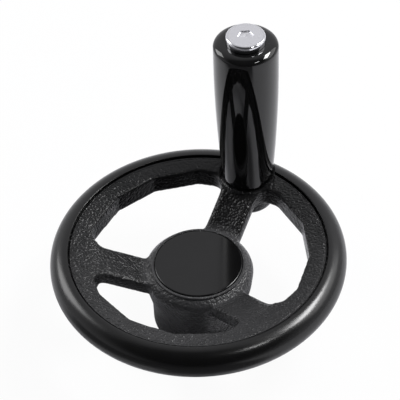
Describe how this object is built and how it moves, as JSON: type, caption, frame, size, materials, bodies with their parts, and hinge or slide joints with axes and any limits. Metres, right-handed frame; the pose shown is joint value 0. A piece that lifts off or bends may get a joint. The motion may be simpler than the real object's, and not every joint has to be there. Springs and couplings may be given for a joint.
{
  "type": "handwheel",
  "caption": "Dished handwheel on flat spokes, with a smooth round rim, a finger-waved inner edge, a capped hub and an upright revolving handle for cranking a shaft.",
  "frame": {"origin": "mouth of the bore, in the plane of the hub's back face", "axes": "+Z along the bore from the back face towards the rim and the handle, +X from the bore to the handle"},
  "size_m": [0.126, 0.125, 0.1199],
  "materials": {
    "moulded_black": "gloss on the outer half of the rim, fine grain on the dish, spokes and hub",
    "bush_steel": "turned",
    "cap_black": "smooth gloss",
    "insert_brass": "turned",
    "spindle_steel": "bright plated",
    "grip_black": "high gloss"
  },
  "bodies": {
    "wheel": {"wheel_body": "moulded_black", "hub_bush": "bush_steel", "hub_cap": "cap_black", "handle_insert": "insert_brass", "spindle": "spindle_steel"},
    "grip": {"grip": "grip_black"}
  },
  "joints": [
    {"name": "grip_spin", "type": "hinge", "parent": "wheel", "child": "grip", "pos_m": [0.05, 0, 0.042], "axis": [0, 0, 1], "continuous": true}
  ]
}
